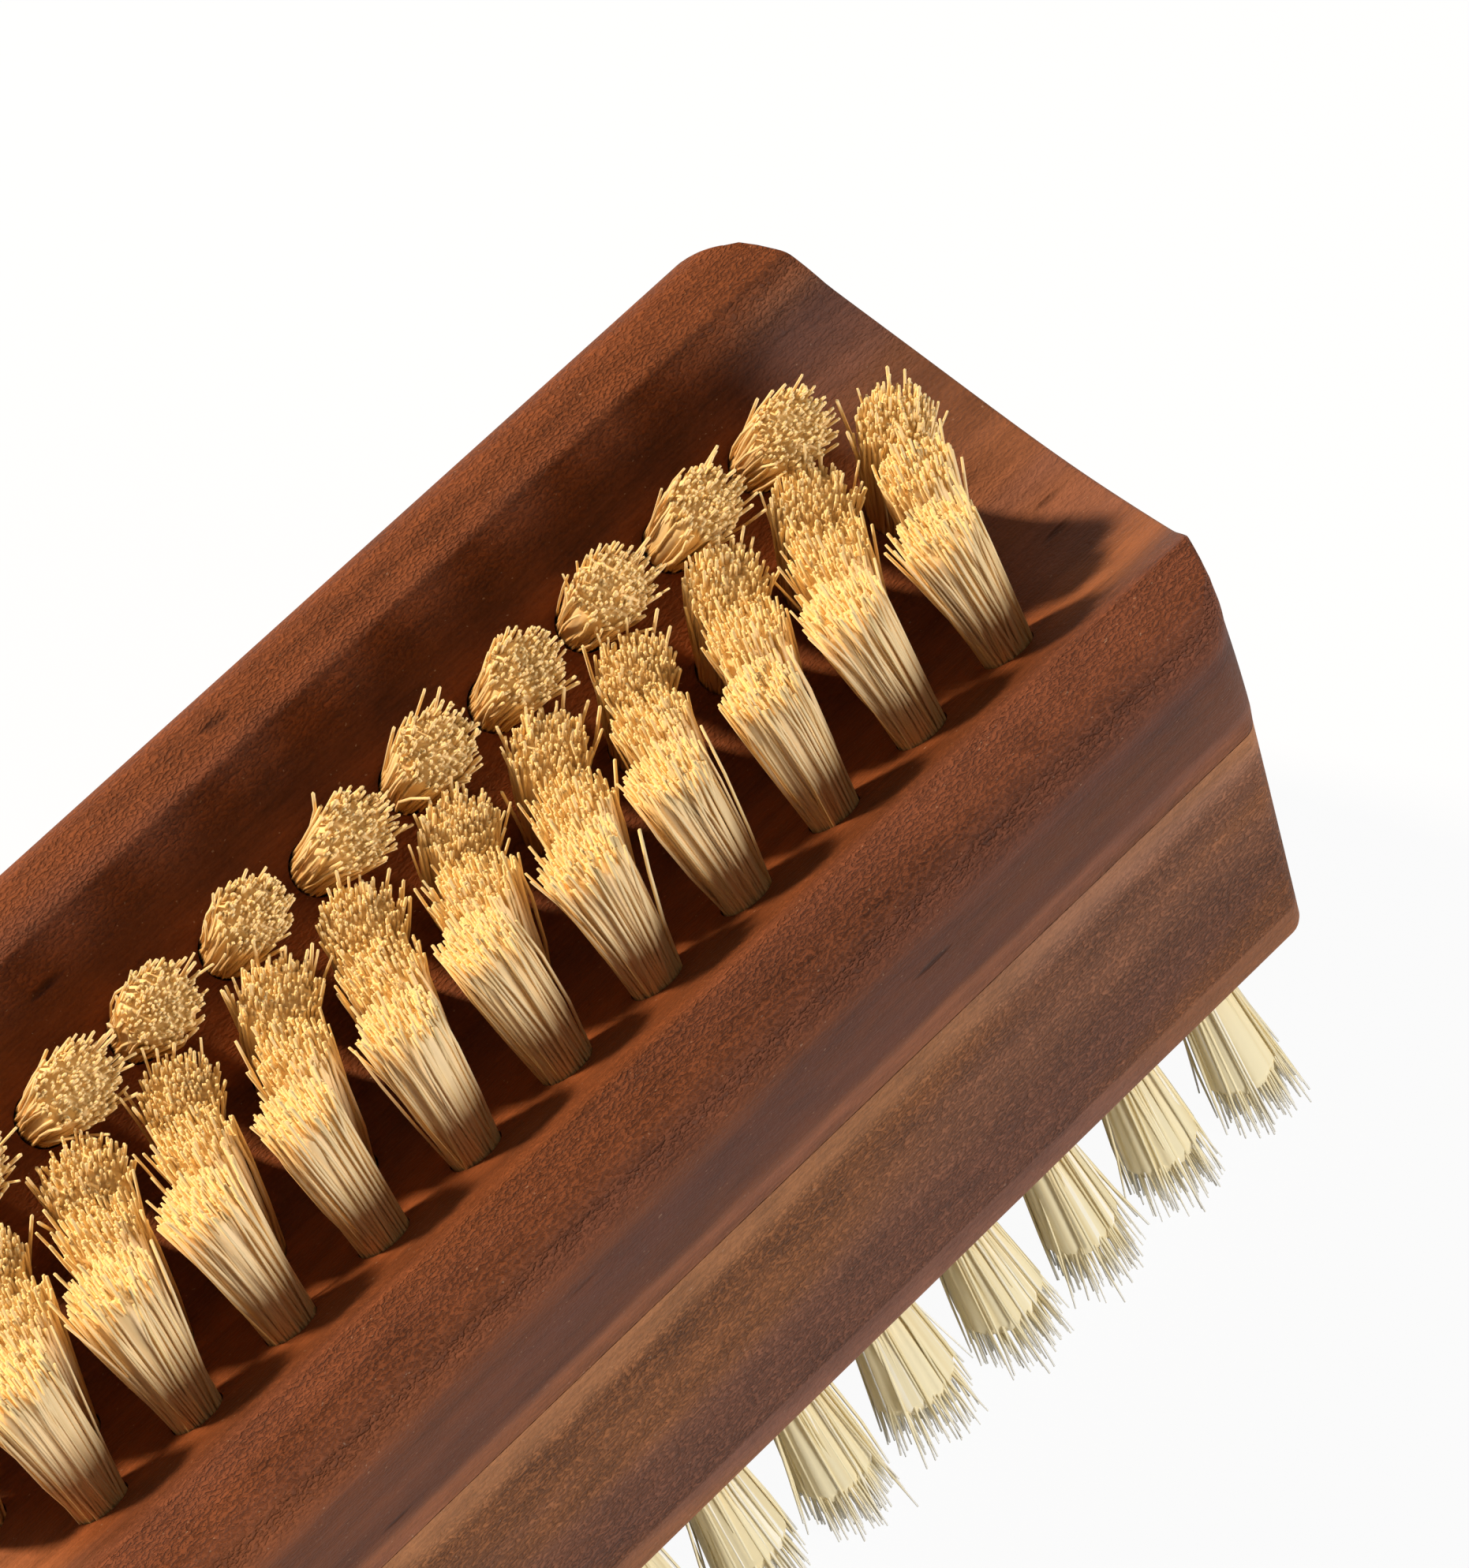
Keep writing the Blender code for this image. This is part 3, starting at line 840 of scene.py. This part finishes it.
class HAND_BRUSH_OT_upper_board(bpy.types.Operator):
    """Makes the upper board, with its trough and its drilled holes"""

    bl_idname = "hand_brush.upper_board"
    bl_label = "Upper board"

    def execute(self, context):
        block = context.scene.hand_brush_block
        colours = context.scene.hand_brush_colours
        mesh = cut(upper_board_mesh(block), tuft_holes(upper_rows(block), block.hole))
        shade(mesh)
        waist, rim, inner = UPPER_LOW.z, UPPER_HIGH.z, block.trough_width / 2
        in_trough = (-1.0 * MM, inner - 1.5 * MM, 1.5 * MM)
        outside = (inner - 1.0 * MM, 2 * inner, 3.0 * MM)
        in_end = (-1.0 * MM, inner - 4.0 * MM, 3.0 * MM)
        end = (43.5 * MM, 60.0 * MM, 1.5 * MM)
        # painted shade: the lower half of the flanks and the end faces under the trough turn darker and
        # more purple, where the key lamp does not reach
        dark = (0.45, 0.51, 0.66)
        zones = [
            ({"Z": (waist - 1.0 * MM, rim - 4.1 * MM, 3.6 * MM), "Y": outside}, dark),
            ({"Z": (waist - 1.0 * MM, rim - 10.2 * MM, 1.0 * MM), "Y": in_end, "X": end}, dark),
            # a paler tan band at the waist: partly the wood's paler strip there, partly painted light
            # where the waist faces up
            ({"Z": (waist - 1.0 * MM, waist + 0.8 * MM, 2.4 * MM)}, (2.2, 2.4, 2.4)),
            # painted shade: the inside of the trough darker and warmer, as in its shade
            ({"Y": in_trough}, (0.88, 0.84, 0.72)),
            # painted light: the trough's ends lighter, as where the key lamp falls on them
            ({"X": (39.0 * MM, 60.0 * MM, 6.0 * MM), "Y": in_trough}, (1.35, 1.75, 2.5)),
        ]
        coarse = (rim - 3.0 * MM, rim - 1.0 * MM), (rim, rim + 1.0 * MM)
        finish = wood_finish(
            "oiled_wood_upper", colours.upper_wood, 0.14, 0.42, coarse, (0.3, 1.7, 0.4), zones
        )
        add_piece("upper_board_wood", mesh, finish, "upper_wood", "upper_board")
        return {"FINISHED"}


class HAND_BRUSH_OT_lower_board(bpy.types.Operator):
    """Makes the lower board, flared towards a bevelled foot, with its drilled holes"""

    bl_idname = "hand_brush.lower_board"
    bl_label = "Lower board"

    def execute(self, context):
        block = context.scene.hand_brush_block
        colours = context.scene.hand_brush_colours
        mesh = cut(lower_board_mesh(block), tuft_holes(lower_rows(), block.hole * 1.1))
        shade(mesh)
        foot, seam = LOWER_LOW.z, LOWER_HIGH.z
        zones = [
            ({"Z": (foot - 1.0 * MM, foot + 3.3 * MM, 0.12 * MM)}, (1.22, 1.30, 1.42)),
            # a paler band below the seam: partly the wood's paler strip there, partly painted light
            # where the flared side faces up
            ({"Z": (seam - 0.9 * MM, seam + 1.0 * MM, 2.4 * MM)}, (1.50, 1.68, 1.85)),
            ({"Z": (foot + 3.4 * MM, foot + 6.5 * MM, 5.0 * MM)}, (0.78, 0.77, 0.86)),
        ]
        coarse = (foot + 3.2 * MM, foot + 3.6 * MM), (seam - 2.6 * MM, seam - 0.9 * MM)
        finish = wood_finish(
            "oiled_wood_lower", colours.lower_wood, 0.18, 0.62, coarse, (5.3, 2.2, 3.1), zones
        )
        add_piece("lower_board_wood", mesh, finish, "lower_wood", "lower_board")
        return {"FINISHED"}


class HAND_BRUSH_OT_upper_bristles(bpy.types.Operator):
    """Makes the four rows of golden tufts that lean in over the trough"""

    bl_idname = "hand_brush.upper_bristles"
    bl_label = "Upper bristles"

    def execute(self, context):
        sizes = context.scene.hand_brush_bristles
        colour = context.scene.hand_brush_colours.golden_bristle
        # the middle colour is the painted shade at the roots, the last the cut tips' colour
        finish = bristle_finish("golden_bristle", colour, (0.84, 0.70, 0.50), (1.0, 0.76, 0.38))
        for seed, row in enumerate(upper_rows(context.scene.hand_brush_block)):
            spread = (sizes.fan, sizes.fan * 0.92)
            rng = np.random.default_rng(11 + seed)
            mesh = bristle_mesh(row, sizes.upper_count, sizes, rng, spread)
            add_piece(f"{row.name}_tufts", mesh, finish, "golden_bristle", f"{row.name}_bristles")
        return {"FINISHED"}


class HAND_BRUSH_OT_lower_bristles(bpy.types.Operator):
    """Makes the five rows of cream tufts that splay out to the ground"""

    bl_idname = "hand_brush.lower_bristles"
    bl_label = "Lower bristles"

    def execute(self, context):
        sizes = context.scene.hand_brush_bristles
        colour = context.scene.hand_brush_colours.cream_bristle
        # the middle colour is the painted shade at the roots, the last the cut tips' colour
        finish = bristle_finish("cream_bristle", colour, (0.96, 0.90, 0.80), (1.06, 1.04, 0.98))
        spread = (sizes.fan * 1.22, sizes.fan)
        for seed, row in enumerate(lower_rows()):
            rng = np.random.default_rng(31 + seed)
            mesh = bristle_mesh(row, sizes.lower_count, sizes, rng, spread)
            add_piece(f"{row.name}_tufts", mesh, finish, "cream_bristle", f"{row.name}_bristles")
        return {"FINISHED"}


class HAND_BRUSH_OT_draw_wires(bpy.types.Operator):
    """Gives the draw wires between the boards their steel"""

    bl_idname = "hand_brush.draw_wires"
    bl_label = "Draw wires"

    def execute(self, context):
        finish = wire_finish()
        for name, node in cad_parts.items():
            if name.endswith("_draw_wire"):
                node.data.materials.clear()
                node.data.materials.append(finish)
        return {"FINISHED"}


class HAND_BRUSH_OT_stage(bpy.types.Operator):
    """Sets the pale floor, the soft lamps, the white surroundings and the camera"""

    bl_idname = "hand_brush.stage"
    bl_label = "Stage"

    def execute(self, context):
        look = context.scene.hand_brush_stage
        add_floor()
        add_surroundings(context.scene, look.room_light)
        key, fill = (-0.30, 0.70, 0.66), (0.30, -1.0, 0.25)
        add_lamp("key_lamp", context.scene, key, look.key_size, look.key_power, (1.0, 0.80, 0.56))
        add_lamp("fill_lamp", context.scene, fill, 0.6, look.fill_power, (0.97, 0.98, 1.0))
        add_camera(context.scene)
        context.scene.view_settings.view_transform = "Standard"
        return {"FINISHED"}


def seen_or_mirrored(finish):
    """1 for what the camera sees, also in a mirror or glass, and 0 for what lights the scene."""
    path = finish.node("ShaderNodeLightPath")
    first = finish.node(
        "ShaderNodeMath", {"operation": "MAXIMUM"}, {0: path["Is Camera Ray"], 1: path["Is Glossy Ray"]}
    )["Value"]
    return finish.node(
        "ShaderNodeMath", {"operation": "MAXIMUM"}, {0: first, 1: path["Is Transmission Ray"]}
    )["Value"]


def add_floor():
    """A pale floor that keeps the brush's shadow and is near white to the camera."""
    half = 2.0
    points = np.array([[-half, -half, 0], [half, -half, 0], [half, half, 0], [-half, half, 0]])
    mesh = mesh_of("floor", points, np.array([[0, 1, 2, 3]]))
    floor = bpy.data.objects.new("floor", mesh)
    bpy.context.scene.collection.objects.link(floor)
    paint = Finish(bpy.data.materials.new("pale_floor"))
    cloud = paint.noise((3, 3, 3), 2.0)
    tone = paint.ramp(cloud, [(0.3, (0.90, 0.90, 0.90)), (0.7, (0.93, 0.93, 0.93))])
    matte = paint.node("ShaderNodeBsdfDiffuse", {}, {"Color": tone})["BSDF"]
    glow = paint.node("ShaderNodeEmission", {}, {"Color": (1, 1, 1), "Strength": 1.0})["Emission"]
    inputs = {"Fac": seen_or_mirrored(paint) * 0.95, "Shader": matte, "Shader_001": glow}
    both = paint.node("ShaderNodeMixShader", {}, inputs)["Shader"]
    mesh.materials.append(paint.surface(both))


def add_surroundings(scene, room_light):
    """White to the camera and to reflections, and an even light from all round at room_light."""
    scene.world = bpy.data.worlds.new("surroundings")
    room = Finish(scene.world)
    inputs = {"Value": seen_or_mirrored(room), "To Min": room_light, "To Max": 1.0}
    strength = room.node("ShaderNodeMapRange", {}, inputs)["Result"]
    inputs = {"Color": (1, 1, 1), "Strength": strength}
    light = room.node("ShaderNodeBackground", {}, inputs)["Background"]
    room.node("ShaderNodeOutputWorld", {}, {"Surface": light})


def add_lamp(name, scene, away, size, power, colour):
    """A square lamp in this direction from the block's middle, and aimed at it."""
    light = bpy.data.lights.new(name, "AREA")
    light.shape = "SQUARE"
    light.size = size
    light.energy = power
    light.color = colour
    lamp = bpy.data.objects.new(name, light)
    away = np.array(away) / np.linalg.norm(away)
    side = np.cross([0.0, 0.0, 1.0], away)
    side = side / np.linalg.norm(side)
    turn = np.stack([side, np.cross(away, side), away], axis=1)
    middle = np.array([0.0, 0.0, LOWER_HIGH.z])
    place = Matrix.Translation(middle + away * LAMP_DISTANCE)
    lamp.matrix_world = place @ Matrix(turn.tolist()).to_4x4()
    scene.collection.objects.link(lamp)


def add_camera(scene):
    """A long lens from the near left, 56 degrees up, rolled as the picture is."""
    right = np.array([0.69402, -0.70802, -0.13054])
    down = np.array([-0.64877, -0.53643, -0.53977])
    forward = np.array([0.31214, 0.45930, -0.83163])
    data = bpy.data.cameras.new("camera")
    data.sensor_fit = "HORIZONTAL"
    data.sensor_width = 36.0
    data.lens = 36.0 * 9715.65 / 1862
    data.clip_start = 0.01
    data.dof.use_dof = False
    camera = bpy.data.objects.new("camera", data)
    turn = np.stack([right, -down, -forward], axis=1)
    place = Matrix.Translation((-0.10471, -0.18359, 0.36359))
    camera.matrix_world = place @ Matrix(turn.tolist()).to_4x4()
    scene.collection.objects.link(camera)
    scene.camera = camera


class HAND_BRUSH_PT_panel(bpy.types.Panel):
    """Lists the brush's pieces and its stage."""

    bl_idname = "HAND_BRUSH_PT_panel"
    bl_label = "Hand brush"
    bl_space_type = "VIEW_3D"
    bl_region_type = "UI"
    bl_category = "Hand brush"

    def draw(self, context):
        for operator in OPERATORS:
            self.layout.operator(operator.bl_idname)


OPERATORS = (
    HAND_BRUSH_OT_upper_board,
    HAND_BRUSH_OT_lower_board,
    HAND_BRUSH_OT_upper_bristles,
    HAND_BRUSH_OT_lower_bristles,
    HAND_BRUSH_OT_draw_wires,
    HAND_BRUSH_OT_stage,
)
SETTINGS = {
    "hand_brush_block": BlockSizes,
    "hand_brush_bristles": BristleSizes,
    "hand_brush_colours": FinishColours,
    "hand_brush_stage": StageLook,
}


def register():
    for group in (*SETTINGS.values(), *OPERATORS, HAND_BRUSH_PT_panel):
        bpy.utils.register_class(group)
    for name, group in SETTINGS.items():
        setattr(bpy.types.Scene, name, PointerProperty(type=group))


def unregister():
    for name in SETTINGS:
        delattr(bpy.types.Scene, name)
    for group in reversed((*SETTINGS.values(), *OPERATORS, HAND_BRUSH_PT_panel)):
        bpy.utils.unregister_class(group)


def main():
    register()
    bpy.ops.hand_brush.upper_board()
    bpy.ops.hand_brush.lower_board()
    bpy.ops.hand_brush.upper_bristles()
    bpy.ops.hand_brush.lower_bristles()
    bpy.ops.hand_brush.draw_wires()
    bpy.ops.hand_brush.stage()


if __name__ == "__main__":
    main()
